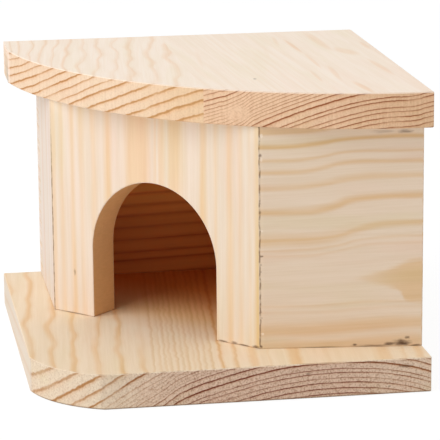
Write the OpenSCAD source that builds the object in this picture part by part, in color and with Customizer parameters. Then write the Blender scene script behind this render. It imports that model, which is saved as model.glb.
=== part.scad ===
// Corner house for a hamster, in solid pine. A base board carries five upright panels, and two
// glued staves make the quarter-round roof. Blind round dowels pin the panels to base and roof.
// Millimetres, +Z up. The origin is the middle of the whole outline, on the ground.

/* [Roof] */
// Width of the roof along its straight back
roof_w = 164; // [150:1:240]
// Depth of the roof along its straight right side
roof_d = 165; // [150:1:240]
// Length of the roof's short straight side at the left, where the round edge ends
roof_side = 26; // [10:1:40]
// Thickness of the roof
roof_t = 15; // [12:0.5:22]
// Width of the roof's left stave, from the roof's left side to the glued seam
left_stave_w = 72.5; // [50:0.5:110]

/* [Base] */
// Thickness of the base board
base_t = 15; // [12:0.5:22]
// How far the base shows past the roof's left side
base_left_margin = 3; // [0:0.5:12]
// How far the base stands out in front of the roof
base_front_margin = 8.4; // [2:0.2:40]
// How far the roof stands past the base's right edge
roof_right_overhang = 2; // [0:0.5:8]
// Length that the rounded corner takes from the base's front edge
corner_front = 28; // [20:1:36]
// Length that the rounded corner takes from the base's left edge
corner_side = 32; // [20:1:36]
// Radius of the rounded corner's arc
corner_r = 46; // [36:1:120]

/* [Panels] */
// Height of the upright panels, between the base and the roof
panel_h = 95.5; // [90:0.5:140]
// Thickness of the upright panels, all but the back wall
panel_t = 15; // [12:0.5:18]
// Thickness of the back wall
back_t = 12; // [10:0.5:18]
// How far the two front corners of the panels stand in from the roof's round edge
eave = 1; // [0:0.1:3]
// How far the left wall's outer face stands in from the roof's left side
left_wall_in = 14.5; // [12:0.5:22]
// How far the corner between door panel and front panel lies right of the roof's left side
front_corner_in = 93.5; // [90:0.5:110]
// How far the front panel's right end stands back from the roof's front edge
front_end_in = 8.5; // [4:0.5:20]

/* [Doorway] */
// Width of the doorway
door_w = 67; // [50:0.5:72]
// Height of the doorway at the top of its arch
door_h = 64.5; // [50:0.5:76]
// How far the doorway lies right of the door panel's middle
door_shift = 0.2; // [-3:0.1:3]

/* [Dowels] */
// Diameter of a dowel
dowel_d = 6; // [4:0.5:8]
// Depth of a dowel in the base or the roof
dowel_in_board = 10; // [7:0.5:11]
// Depth of a dowel in the edge of a panel
dowel_in_panel = 14; // [10:1:20]
// Chamfer at the ends of a dowel
dowel_chamfer = 0.8; // [0.3:0.1:1.5]
// Distance from the end of a panel to its nearest dowel
dowel_setback = 14; // [10:1:18]
// Room for glue all around a dowel
dowel_side_gap = 0.1; // [0.05:0.05:0.3]
// Room for glue past each end of a dowel
dowel_end_gap = 0.5; // [0.2:0.1:1]

/* [Hidden] */

// Fineness of the arcs, and of the dowels and their holes
arc_fn = 180;
dowel_fn = 36;
// How far a cut reaches past the face that it starts from
cut = 1;

// The outline seen from above
right_x = (roof_w + base_left_margin) / 2;     // the roof's right side
left_x = -right_x;                             // the base's left edge
back_y = (roof_d + base_front_margin) / 2;     // the back of base, walls and roof
front_y = -back_y;                             // the base's front edge
roof_left_x = right_x - roof_w;
roof_front_y = back_y - roof_d;
// The roof's round edge runs from the end of its short left side to its front right corner, which
// it reaches square to the right side
round_d = roof_d - roof_side;
roof_r = (pow(roof_w, 2) + pow(round_d, 2)) / (2 * round_d);
roof_centre = [right_x, roof_front_y + roof_r];
base_right_x = right_x - roof_right_overhang;
seam_x = roof_left_x + left_stave_w;

// Levels
panel_top = base_t + panel_h;
base_dowel_z = base_t - dowel_in_board;
roof_dowel_z = panel_top - dowel_in_panel;
dowel_len = dowel_in_board + dowel_in_panel;

// The panels' outer faces, from the back left corner round to the right end of the front panel.
// Both front corners lie on an arc just inside the roof's edge.
function under_roof_edge(x) =
    [x, roof_centre.y - sqrt(pow(roof_r - eave, 2) - pow(roof_centre.x - x, 2))];
left_wall_x = roof_left_x + left_wall_in;
butt_y = back_y - back_t;                      // the back wall's inner face, where the side walls end
left_wall_back = [left_wall_x, butt_y];
left_corner = under_roof_edge(left_wall_x);
front_corner = under_roof_edge(roof_left_x + front_corner_in);
front_end = [base_right_x, roof_front_y + front_end_in];

// Directions along a panel's outer face from a to b, and square to it, into the house
function along(a, b) = (b - a) / norm(b - a);
function inward(a, b) = let(d = along(a, b)) [-d.y, d.x];
// Inner end of the mitre at b, between the panels a to b and b to c
function mitre(a, b, c) = let(n = inward(a, b), m = inward(b, c)) b + panel_t * (n + m) / (1 + n * m);
left_mitre = mitre(left_wall_back, left_corner, front_corner);
front_mitre = mitre(left_corner, front_corner, front_end);
// Point on the front panel's inner face at a given x
front_slope = (front_end.y - front_corner.y) / (front_end.x - front_corner.x);
function behind_front(x) = [x, front_mitre.y + (x - front_mitre.x) * front_slope];
right_wall_front = behind_front(base_right_x);
right_wall_back = [base_right_x, butt_y];

// The doorway's two jambs, measured along the door panel's outer face from its left corner
door_dir = along(left_corner, front_corner);
door_panel_w = norm(front_corner - left_corner);
left_jamb = (door_panel_w - door_w) / 2 + door_shift;
right_jamb = left_jamb + door_w;
spring_h = door_h - door_w / 2;                // where the arch begins
// Ends of the door panel's inner face, measured the same way
inner_left = (left_mitre - left_corner) * door_dir;
inner_right = (front_mitre - left_corner) * door_dir;

// Dowel places: midway through a panel of thickness t with outer face a to b, at distance s from a
function seat(a, b, s, t = panel_t) = a + along(a, b) * s + inward(a, b) * t / 2;
function seats(a, b, count, t = panel_t) = let(span = norm(b - a) - 2 * dowel_setback)
    [for (i = [0 : count - 1]) seat(a, b, dowel_setback + span * i / (count - 1), t)];
left_seats = seats(left_wall_back, left_corner, 2);
// One dowel stands in the middle of each leg beside the doorway
door_seats = [
    seat(left_corner, front_corner, (inner_left / 2 + left_jamb) / 2),
    seat(left_corner, front_corner, (right_jamb + (inner_right + door_panel_w) / 2) / 2)];
front_seats = seats(front_corner, front_end, 2);
right_seats = seats(right_wall_front, right_wall_back, 3);
back_seats = seats([base_right_x, back_y], [left_wall_x, back_y], 3, back_t);
all_seats = concat(left_seats, door_seats, front_seats, right_seats, back_seats);

module dowels(places, z) {
    r = dowel_d / 2;
    c = dowel_chamfer;
    for (p = places) translate([p.x, p.y, z]) rotate_extrude($fn = dowel_fn)
        polygon([[0, 0], [r - c, 0], [r, c], [r, dowel_len - c], [r - c, dowel_len], [0, dowel_len]]);
}

module dowel_holes(places, z) {
    for (p = places) translate([p.x, p.y, z - dowel_end_gap])
        cylinder(d = dowel_d + 2 * dowel_side_gap, h = dowel_len + 2 * dowel_end_gap, $fn = dowel_fn);
}

// An upright panel with the given outline from above, drilled top and bottom for its dowels
module panel(outline, places) {
    difference() {
        translate([0, 0, base_t]) linear_extrude(panel_h) polygon(outline);
        dowel_holes(places, base_dowel_z);
        dowel_holes(places, roof_dowel_z);
    }
}

// What the rounded front left corner takes off the base: a block with the arc left standing
module corner_waste() {
    chord = norm([corner_front, corner_side]);
    middle = [left_x + corner_front / 2, front_y + corner_side / 2];
    to_centre = [corner_side, corner_front] / chord;
    centre = middle + to_centre * sqrt(pow(corner_r, 2) - pow(chord / 2, 2));
    difference() {
        translate([left_x - cut, front_y - cut, -cut])
            cube([corner_front + cut, corner_side + cut, base_t + 2 * cut]);
        translate([centre.x, centre.y, -2 * cut])
            cylinder(r = corner_r, h = base_t + 4 * cut, $fn = arc_fn);
    }
}

module base_board() {
    color([0.93, 0.80, 0.65]) difference() {
        translate([left_x, front_y, 0]) cube([base_right_x - left_x, back_y - front_y, base_t]);
        corner_waste();
        dowel_holes(all_seats, base_dowel_z);
    }
}

module left_wall() {
    color([0.93, 0.87, 0.81])
        panel([left_wall_back, left_corner, left_mitre, [left_mitre.x, butt_y]], left_seats);
}

// A round-topped doorway: a slot as wide as the door with a half circle over it
module doorway() {
    reach = panel_t + 2 * cut;
    translate([left_corner.x, left_corner.y, base_t])
        rotate([0, 0, atan2(door_dir.y, door_dir.x)])
            translate([(left_jamb + right_jamb) / 2, 0, 0]) {
                translate([-door_w / 2, -cut, -cut]) cube([door_w, reach, spring_h + cut]);
                translate([0, panel_t + cut, spring_h]) rotate([90, 0, 0])
                    cylinder(d = door_w, h = reach, $fn = arc_fn);
            }
}

module door_panel() {
    color([0.96, 0.88, 0.78]) difference() {
        panel([left_corner, front_corner, front_mitre, left_mitre], door_seats);
        doorway();
    }
}

module front_panel() {
    color([0.86, 0.77, 0.66])
        panel([front_corner, front_end, right_wall_front, front_mitre], front_seats);
}

module right_wall() {
    color([0.90, 0.82, 0.72])
        panel([behind_front(base_right_x - panel_t), right_wall_front, right_wall_back,
            [base_right_x - panel_t, butt_y]], right_seats);
}

module back_wall() {
    color([0.88, 0.76, 0.62])
        panel([[left_wall_x, butt_y], [base_right_x, butt_y], [base_right_x, back_y],
            [left_wall_x, back_y]], back_seats);
}

// The part of the roof between two lines across its width
module roof_stave(from_x, to_x) {
    stave_w = to_x - from_x;
    difference() {
        union() {
            translate([from_x, back_y - roof_side, panel_top]) cube([stave_w, roof_side, roof_t]);
            intersection() {
                translate([roof_centre.x, roof_centre.y, panel_top])
                    cylinder(r = roof_r, h = roof_t, $fn = arc_fn);
                translate([from_x, roof_front_y, panel_top]) cube([stave_w, round_d, roof_t]);
            }
        }
        dowel_holes(all_seats, roof_dowel_z);
    }
}

module roof_left_stave() {
    color([0.97, 0.92, 0.85]) roof_stave(roof_left_x, seam_x);
}

module roof_right_stave() {
    color([0.98, 0.91, 0.82]) roof_stave(seam_x, right_x);
}

module base_dowels() {
    color([0.86, 0.70, 0.50]) dowels(all_seats, base_dowel_z);
}

module roof_dowels() {
    color([0.86, 0.70, 0.50]) dowels(all_seats, roof_dowel_z);
}

base_board();
left_wall();
door_panel();
front_panel();
right_wall();
back_wall();
roof_left_stave();
roof_right_stave();
base_dowels();
roof_dowels();
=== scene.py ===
"""Looks of the wooden hamster house: raw pine boards with their rings and fibres, and a plain studio."""

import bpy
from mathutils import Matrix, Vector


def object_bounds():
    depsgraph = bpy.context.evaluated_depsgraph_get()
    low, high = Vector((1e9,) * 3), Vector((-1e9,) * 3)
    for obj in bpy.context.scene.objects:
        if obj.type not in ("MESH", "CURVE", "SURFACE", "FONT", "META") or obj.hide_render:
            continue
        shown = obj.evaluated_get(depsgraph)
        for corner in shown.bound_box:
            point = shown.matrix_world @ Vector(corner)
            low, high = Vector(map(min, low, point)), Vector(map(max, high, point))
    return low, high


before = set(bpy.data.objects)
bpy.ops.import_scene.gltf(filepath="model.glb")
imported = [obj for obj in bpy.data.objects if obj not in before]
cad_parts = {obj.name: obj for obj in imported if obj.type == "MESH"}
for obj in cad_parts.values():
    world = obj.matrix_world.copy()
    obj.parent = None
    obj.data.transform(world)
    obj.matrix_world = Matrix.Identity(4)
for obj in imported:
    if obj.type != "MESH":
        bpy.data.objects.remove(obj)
CAD_BOX = [list(corner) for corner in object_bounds()]

import math

import bpy
from bpy.props import FloatProperty, FloatVectorProperty, PointerProperty
from mathutils import Matrix, Vector

bl_info = {
    "name": "Wooden Hamster House",
    "version": (1, 0, 0),
    "blender": (4, 5, 0),
    "location": "View3D > Sidebar > Hamster House",
    "description": "Gives the boards of a wooden hamster house their pine and sets a plain studio",
    "category": "Object",
}

# Places are in metres. The pattern of the wood is in millimetres: rings, bands, marks and masks.
MM = 0.001
SEAM_X = -0.008
FLOOR_GAP = 0.0002
SAME_PLACE = 0.00001
ARRIS_ANGLE = math.radians(32)
SEAM_ANGLE = math.radians(50)
SPOT_DEPTH = 2.0

ORIGIN = Vector((0, 0, 0))
FRONT = Vector((0, -1, 0))
BACK = Vector((0, 1, 0))
LEFT = Vector((-1, 0, 0))
RIGHT = Vector((1, 0, 0))
UP = Vector((0, 0, 1))
ALONG_Y = math.radians(-90)

BASE_FRONT = Vector((0, CAD_BOX[0][1], 0))
ROOF_TOP = CAD_BOX[1][2] / MM

# The roof's round front edge, seen from above.
ROOF_ARC_CENTRE = Vector((0.0835, 0.08795, 0))
ROOF_ARC_RADIUS = 0.16625

# Plan points of the slanting front, on the outer faces of the panels.
LEFT_CORNER = Vector((-0.066, 0.01754, 0))
FRONT_CORNER = Vector((0.013, -0.06151, 0))
FRONT_END = Vector((0.0815, -0.0698, 0))
DOOR_RUN = (FRONT_CORNER - LEFT_CORNER).normalized()
DOOR_INWARD = Vector((-DOOR_RUN.y, DOOR_RUN.x, 0))
FRONT_RUN = (FRONT_END - FRONT_CORNER).normalized()
FRONT_INWARD = Vector((-FRONT_RUN.y, FRONT_RUN.x, 0))


def tone(code):
    """A colour written as six hexadecimal digits, in the linear values that a node takes."""
    parts = [int(code[i:i + 2], 16) / 255 for i in (0, 2, 4)]
    return tuple(p / 12.92 if p <= 0.04045 else ((p + 0.055) / 1.055) ** 2.4 for p in parts)


def colour_property(name, description, code):
    return FloatVectorProperty(
        name=name, description=description, default=tone(code), subtype="COLOR", min=0, max=1)


def length_property(name, description, default):
    return FloatProperty(
        name=name, description=description, default=default, subtype="DISTANCE", unit="LENGTH", precision=4)


def angle_property(name, description, degrees):
    return FloatProperty(name=name, description=description, default=math.radians(degrees), subtype="ANGLE")


class PineColours(bpy.types.PropertyGroup):
    """Colours of the bare pine, board by board."""

    roof_face: colour_property("Roof top", "Sanded top of the roof boards", "FFEEDC")
    roof_band: colour_property("Roof top rings", "Late wood in the roof's top", "F8D9BA")
    roof_end: colour_property("Roof end grain", "Early wood on the roof's sawn front edge", "FAE7D2")
    roof_end_ring: colour_property("Roof end rings", "Late wood on the roof's sawn front edge", "C7945E")
    roof_middle_end: colour_property("End grain by the seam", "Early wood left of the roof's seam", "EDCBA5")
    roof_right_end: colour_property("Right board end grain", "Early wood right of the roof's seam", "ECC6A3")
    roof_right_ring: colour_property("Right board end rings", "Late wood right of the roof's seam", "98542A")
    door_face: colour_property("Door panel", "Early wood of the panel with the doorway", "F0DDCA")
    door_band: colour_property("Door panel rings", "Late wood of the panel with the doorway", "F0CDA3")
    door_rim: colour_property("Door panel rim", "Yellow wood at the door panel's right edge", "E6C48C")
    front_face: colour_property("Front panel", "Early wood of the panel right of the doorway", "E9D3BB")
    front_band: colour_property("Front panel rings", "Late wood right of the doorway", "E0BB8D")
    wall_face: colour_property("Left wall", "Early wood of the narrow left wall", "EBDCD0")
    wall_band: colour_property("Left wall rings", "Late wood of the narrow left wall", "E4CDB3")
    base_face: colour_property("Base top", "Sanded top of the base board", "F2DEC2")
    base_band: colour_property("Base top rings", "Late wood in the base's top", "E9C291")
    base_arc: colour_property("Base corner end grain", "Early wood on the base's round corner", "E6D2B8")
    base_arc_ring: colour_property("Base corner rings", "Late wood on the base's round corner", "B38150")
    base_end: colour_property("Base end grain", "Early wood on the base's front edge", "D7B8A0")
    base_end_ring: colour_property("Base end rings", "Late wood on the base's front edge", "76361C")
    # The doorway edge's tan is partly its own colour and partly painted shade, made deeper for the shade in
    # the doorway.
    reveal: colour_property("Doorway edge", "Smooth cut face all round the doorway", "EBBA84")
    # Painted shade: the inner faces and the cabin floor get this warm tint, for the shade and the light
    # bounced about inside the cabin.
    inside: colour_property("Inner faces", "Warm tint of the unsanded inner faces", "F6AE66")
    joint: colour_property("Joint line", "Dust and glue in the joint lines", "7A5A3C")
    dark_mark: colour_property("Dark marks", "Pits, chips and stains", "5A3E28")
    # Painted shade on the roof's back arris, which looks away from the light.
    back_arris_shade: colour_property("Back arris", "Dusty arris along the roof's back edge", "D2CFCB")
    beech: colour_property("Dowels", "Beech of the hidden dowels", "D9B380")


class PineSizes(bpy.types.PropertyGroup):
    """Sizes of the edge easing and of the relief of the grain."""

    eased_edge: length_property("Eased edge", "Width of the sanded arris on every board", 0.0005)
    grain_depth: length_property("Grain depth", "How far late wood stands proud of early wood", 0.00006)


class StudioSettings(bpy.types.PropertyGroup):
    """Camera, floor and lamps."""

    camera_place: FloatVectorProperty(
        name="Camera place", description="Where the camera stands",
        default=(-0.16196, -1.06751, 0.31432), subtype="TRANSLATION", unit="LENGTH")
    camera_yaw: angle_property("Camera yaw", "How far the camera looks to the right", 8.9665)
    camera_pitch: angle_property("Camera pitch", "How far the camera looks down", 13.403)
    camera_roll: angle_property("Camera roll", "How far the camera leans over", 0.53)
    lens_mm: FloatProperty(
        name="Lens", description="Focal length for a sensor 36 mm wide, in millimetres", default=206.25)
    floor_size: length_property("Floor size", "Side of the square floor", 8.0)
    key_azimuth: angle_property("Key azimuth", "Direction of the key light, from the front to the left", 67)
    key_height: angle_property("Key height", "Angle of the key light above the floor", 40)
    key_distance: length_property("Key distance", "From the house to the key light", 1.8)
    key_size: length_property("Key size", "Side of the square key light", 1.4)
    key_power: FloatProperty(
        name="Key power", description="Power of the key light", default=16.75, unit="POWER")
    sky_strength: FloatProperty(
        name="Sky strength", description="Light from all round, where 1 is white", default=0.62)


class NodeSheet:
    """Adds nodes to one node tree. A value is a number, a colour, a vector or another node's output."""

    COLUMNS = 14
    COLUMN_WIDTH = 190
    ROW_HEIGHT = 260

    def __init__(self, tree):
        self.tree = tree

    def put(self, kind, values=None, **settings):
        made = self.tree.nodes.new(kind)
        row, column = divmod(len(self.tree.nodes), self.COLUMNS)
        made.location = (self.COLUMN_WIDTH * column, -self.ROW_HEIGHT * row)
        for name, value in settings.items():
            setattr(made, name, value)
        for socket, value in (values or {}).items():
            self.feed(made.inputs[socket], value)
        return made

    def feed(self, socket, value):
        if isinstance(value, bpy.types.NodeSocket):
            self.tree.links.new(value, socket)
        elif socket.type == "RGBA":
            socket.default_value = (*value[:3], 1)
        else:
            socket.default_value = value

    def math(self, operation, *values, clamp=False):
        made = self.put("ShaderNodeMath", dict(enumerate(values)), operation=operation, use_clamp=clamp)
        return made.outputs[0]

    def plus(self, first, second):
        return self.math("ADD", first, second)

    def minus(self, first, second):
        return self.math("SUBTRACT", first, second)

    def times(self, first, second):
        return self.math("MULTIPLY", first, second)

    def vector(self, operation, *values):
        made = self.put("ShaderNodeVectorMath", dict(enumerate(values)), operation=operation)
        return made.outputs[1 if operation in ("DOT_PRODUCT", "LENGTH") else 0]

    def millimetres(self, place, **values):
        """A place in metres as one in millimetres, seen from a frame of its own where values name one."""
        given = {"Vector": place, "Scale": (MM, MM, MM), **values}
        return self.put("ShaderNodeMapping", given, vector_type="TEXTURE").outputs[0]

    def blend(self, share, first, second, kind="MIX"):
        given = {0: share, 6: first, 7: second}
        return self.put("ShaderNodeMix", given, data_type="RGBA", blend_type=kind).outputs[2]

    def between(self, share, first, second):
        return self.put("ShaderNodeMix", {0: share, 2: first, 3: second}, data_type="FLOAT").outputs[0]

    def step(self, value, low, high, start=0.0, end=1.0):
        """Goes softly from start to end while the value goes from low to high."""
        given = {0: value, 1: low, 2: high, 3: start, 4: end}
        return self.put("ShaderNodeMapRange", given, interpolation_type="SMOOTHSTEP").outputs[0]

    def noise(self, place, size, detail=2.0, roughness=0.5):
        """Noise whose features are about as large as size, in the units of place."""
        stretched = self.vector("DIVIDE", place, size)
        given = {"Vector": stretched, "Scale": 1.0, "Detail": detail, "Roughness": roughness}
        return self.put("ShaderNodeTexNoise", given).outputs[0]

    def sway(self, place, size, detail=1.0):
        """Noise that swings to both sides of zero."""
        return self.minus(self.noise(place, size, detail), 0.5)

    def curve(self, value, knots, handle="VECTOR"):
        """Reads a curve through (input, output) knots, which runs on in a straight line past its ends."""
        low, high = knots[0][0], knots[-1][0]
        bottom = min(k[1] for k in knots)
        reach = max(k[1] for k in knots) - bottom
        share = self.math("DIVIDE", self.minus(value, low), high - low)
        made = self.put("ShaderNodeFloatCurve", {1: share})
        made.mapping.extend = "EXTRAPOLATED"
        points = made.mapping.curves[0].points
        for i, (x, y) in enumerate(knots):
            at = ((x - low) / (high - low), (y - bottom) / reach)
            if i == 0:
                points[0].location = at
            elif i == len(knots) - 1:
                points[len(points) - 1].location = at
            else:
                points.new(*at)
        for point in points:
            point.handle_type = handle
        made.mapping.update()
        return self.math("MULTIPLY_ADD", made.outputs[0], reach, bottom)

    def group(self, tree, **values):
        made = self.put("ShaderNodeGroup", node_tree=tree)
        for name, value in values.items():
            self.feed(made.inputs[socket_name(name)], value)
        return made


def socket_name(name):
    """The label of a group's socket, from its name in a call."""
    return name.replace("_", " ").title()


def new_group(name, inputs, outputs):
    """An empty node group with named sockets. Returns its tree, a sheet, its inputs and its outputs."""
    tree = bpy.data.node_groups.new(name, "ShaderNodeTree")
    for label, kind, default in inputs:
        socket = tree.interface.new_socket(name=label, in_out="INPUT", socket_type="NodeSocket" + kind)
        socket.default_value = (*default, 1) if kind == "Color" else default
    for label, kind in outputs:
        tree.interface.new_socket(name=label, in_out="OUTPUT", socket_type="NodeSocket" + kind)
    given = tree.nodes.new("NodeGroupInput").outputs
    return tree, NodeSheet(tree), given, tree.nodes.new("NodeGroupOutput").inputs


def make_log_radius_group():
    """Distance from the pith, in millimetres, with the slow and quick waves of grown wood."""
    tree, sheet, given, result = new_group(
        "Log radius",
        [
            ("Place", "Vector", (0, 0, 0)), ("Waviness", "Float", 1.0), ("Ripple", "Float", 0.3),
            ("Seed", "Float", 0.0),
        ],
        [("Radius", "Float")],
    )
    across_log = (1, 1, 0)
    seed_step = (37, 91, 1)
    place = sheet.vector("MULTIPLY_ADD", given["Seed"], seed_step, given["Place"])
    radius = sheet.vector("LENGTH", sheet.vector("MULTIPLY", given["Place"], across_log))
    for size, reach in (((28, 28, 120), given["Waviness"]), ((7, 7, 50), given["Ripple"])):
        radius = sheet.math("MULTIPLY_ADD", sheet.sway(place, size), sheet.times(reach, 2.0), radius)
    sheet.feed(result["Radius"], radius)
    return tree


# Tints multiply a colour, so that 1 leaves it as it is.
NO_TINT = (1.0, 1.0, 1.0)
GLOW_TINT = (1.15, 1.0, 0.82)
PINK_TINT = (1.0, 0.955, 0.95)
GREEN_TINT = (0.97, 0.985, 0.93)
FIBRE_TINTS = ((0.965, 0.95, 0.92), (1.015, 1.02, 1.035))
SAW_TINTS = ((0.93, 0.90, 0.87), (1.04, 1.05, 1.06))
DOT_TINT = (0.74, 0.65, 0.60)
FLECK_TINT = (1.12, 1.15, 1.18)


def make_grain_group():
    """Pine between bark and pith: rings, fibres and slow changes of colour, on faces and on end grain."""
    tree, sheet, given, result = new_group(
        "Pine grain",
        [
            ("Place", "Vector", (0, 0, 0)), ("Rings", "Float", 0.0), ("Drawn Band", "Float", 0.0),
            ("End Grain", "Float", 0.0),
            ("Face", "Color", (0.9, 0.8, 0.7)), ("Band", "Color", (0.8, 0.6, 0.4)),
            ("End", "Color", (0.8, 0.6, 0.4)), ("End Ring", "Color", (0.5, 0.3, 0.15)),
            ("Band Width", "Float", 0.6), ("Band Strength", "Float", 1.0),
            ("Ring Width", "Float", 0.55), ("Ring Strength", "Float", 1.0), ("Unevenness", "Float", 0.7),
            ("Fibre", "Float", 1.0), ("Patches", "Float", 1.0), ("Speckle", "Float", 0.3),
            ("Saw Marks", "Float", 0.5), ("Seed", "Float", 0.0),
        ],
        [("Color", "Color"), ("Height", "Float"), ("Roughness", "Float")],
    )
    seed_step = (53, 1, 11)
    place = sheet.vector("MULTIPLY_ADD", given["Seed"], seed_step, given["Place"])
    jitter = sheet.sway(place, (2.2, 2.2, 2.2))
    rings = sheet.math("MULTIPLY_ADD", jitter, sheet.times(given["End Grain"], 0.16), given["Rings"])
    share = sheet.math("FRACT", rings)
    number = sheet.plus(sheet.math("FLOOR", rings), given["Seed"])
    chance = sheet.put("ShaderNodeTexWhiteNoise", {"W": number}, noise_dimensions="1D").outputs[0]

    def late(width, fall):
        """Late wood: a soft zone that darkens outwards, and a thin line where the next ring starts."""
        fallen = sheet.step(share, 0.0, fall, 1.0, 0.0)
        soft = sheet.step(share, sheet.minus(1.0, width), 0.97)
        line = sheet.step(share, sheet.math("MULTIPLY_ADD", width, -0.42, 1.0), 0.97)
        return sheet.math("MAXIMUM", soft, fallen), sheet.math("MAXIMUM", line, fallen)

    fade = sheet.step(sheet.noise(place, (9, 9, 60), 2.0), 0.25, 0.6, 0.55, 1.1)
    uneven = sheet.math("MULTIPLY_ADD", sheet.minus(chance, 0.5), given["Unevenness"], 0.85)
    strength = sheet.times(fade, uneven)
    soft, line = late(given["Band Width"], 0.3)
    band = sheet.math("MULTIPLY_ADD", line, 0.6, sheet.times(soft, 0.5))
    band = sheet.times(sheet.times(band, strength), given["Band Strength"])
    drawn = sheet.times(given["Drawn Band"], sheet.step(fade, 0.5, 1.1, 0.75, 1.05))
    band = sheet.math("MAXIMUM", band, drawn, clamp=True)
    soft, line = late(given["Ring Width"], 0.12)
    ring_strength = sheet.times(strength, given["Ring Strength"])
    glow = sheet.math("MULTIPLY", sheet.times(soft, 0.55), ring_strength, clamp=True)
    ring = sheet.math("MULTIPLY", line, ring_strength, clamp=True)
    face = sheet.blend(band, given["Face"], given["Band"])
    warm = sheet.blend(1.0, sheet.blend(0.5, given["End"], given["End Ring"]), GLOW_TINT, "MULTIPLY")
    end = sheet.blend(ring, sheet.blend(glow, given["End"], warm), given["End Ring"])
    colour = sheet.blend(given["End Grain"], face, end)

    # Slow patches lean to pink on one side and to greenish yellow on the other.
    patch = sheet.noise(place, (13, 13, 75), 2.0)
    for low, high, tint in ((0.52, 0.72, PINK_TINT), (0.48, 0.3, GREEN_TINT)):
        share_here = sheet.times(sheet.step(patch, low, high), given["Patches"])
        colour = sheet.blend(share_here, colour, tint, "MULTIPLY")

    # Fibres run along the log on faces. End grain shows them as dots, and the saw leaves upright marks.
    fine = sheet.noise(place, (0.8, 0.8, 26), 2.0, 0.6)
    coarse = sheet.noise(place, (2.4, 2.4, 60), 1.0)
    fibre = sheet.step(sheet.plus(sheet.times(fine, 0.5), sheet.times(coarse, 0.5)), 0.34, 0.66)
    grit = sheet.noise(place, (0.75, 0.75, 0.75), 2.0)
    dots = sheet.times(sheet.step(grit, 0.52, 0.66), given["Speckle"])
    flecks = sheet.times(sheet.step(grit, 0.48, 0.34), given["Speckle"])
    saw = sheet.step(sheet.noise(place, (0.9, 14.0, 3.0), 1.0), 0.35, 0.65)
    face_tint = sheet.blend(fibre, *FIBRE_TINTS)
    end_tint = sheet.blend(given["Saw Marks"], NO_TINT, sheet.blend(saw, *SAW_TINTS))
    end_tint = sheet.blend(dots, end_tint, DOT_TINT, "MULTIPLY")
    end_tint = sheet.blend(flecks, end_tint, FLECK_TINT, "MULTIPLY")
    tint = sheet.blend(given["End Grain"], face_tint, end_tint)
    sheet.feed(result["Color"], sheet.blend(given["Fibre"], colour, tint, "MULTIPLY"))

    height = sheet.math("MULTIPLY_ADD", band, 0.6, sheet.times(fibre, 0.4))
    end_height = sheet.minus(sheet.math("MULTIPLY_ADD", ring, 0.6, sheet.times(saw, 0.4)), dots)
    sheet.feed(result["Height"], sheet.between(given["End Grain"], height, end_height))
    rough_face = sheet.math("MULTIPLY_ADD", band, -0.08, sheet.math("MULTIPLY_ADD", fibre, -0.06, 0.64))
    sheet.feed(result["Roughness"], sheet.between(given["End Grain"], rough_face, 0.78))
    return tree


def make_cut_faces_group():
    """Which way a face looks: across the fibres (end grain), and on the sanded arris between two faces."""
    tree, sheet, given, result = new_group(
        "Cut faces",
        [
            ("Normal", "Vector", (0, 0, 1)), ("Fibre Direction", "Vector", (0, 1, 0)),
            ("Thickness Direction", "Vector", (0, 0, 1)),
            ("End From", "Float", 0.08), ("End To", "Float", 0.16),
        ],
        [("End Grain", "Float"), ("Arris", "Float")],
    )
    across = sheet.math("ABSOLUTE", sheet.vector("DOT_PRODUCT", given["Normal"], given["Fibre Direction"]))
    sheet.feed(result["End Grain"], sheet.step(across, given["End From"], given["End To"]))
    level = sheet.math("ABSOLUTE", sheet.vector("DOT_PRODUCT", given["Normal"], given["Thickness Direction"]))
    arris = sheet.times(sheet.step(level, 0.1, 0.35), sheet.step(level, 0.9, 0.985, 1.0, 0.0))
    sheet.feed(result["Arris"], arris)
    return tree


def make_spot_group():
    """A soft oval mark with a ragged border, turned about the upright axis: a stain, a chip or a streak."""
    tree, sheet, given, result = new_group(
        "Spot",
        [
            ("Place", "Vector", (0, 0, 0)), ("Centre", "Vector", (0, 0, 0)), ("Size", "Vector", (1, 1, 1)),
            ("Turn", "Float", 0.0), ("Soft", "Float", 0.5), ("Ragged", "Float", 0.2),
        ],
        [("Mask", "Float")],
    )
    inside = {"Vector": sheet.vector("SUBTRACT", given["Place"], given["Centre"]), "Angle": given["Turn"]}
    turned = sheet.put("ShaderNodeVectorRotate", inside, rotation_type="Z_AXIS", invert=True).outputs[0]
    scaled = sheet.vector("DIVIDE", turned, given["Size"])
    rag = sheet.sway(sheet.vector("ADD", scaled, given["Centre"]), (0.8, 0.8, 0.8), 2.0)
    away = sheet.math("MULTIPLY_ADD", rag, sheet.times(given["Ragged"], 4.0), sheet.vector("LENGTH", scaled))
    sheet.feed(result["Mask"], sheet.step(away, sheet.minus(1.0, given["Soft"]), 1.0, 1.0, 0.0))
    return tree


GROUP_MAKERS = {
    "Log radius": make_log_radius_group,
    "Pine grain": make_grain_group,
    "Cut faces": make_cut_faces_group,
    "Spot": make_spot_group,
}


def shared_group(name):
    return bpy.data.node_groups.get(name) or GROUP_MAKERS[name]()


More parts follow.
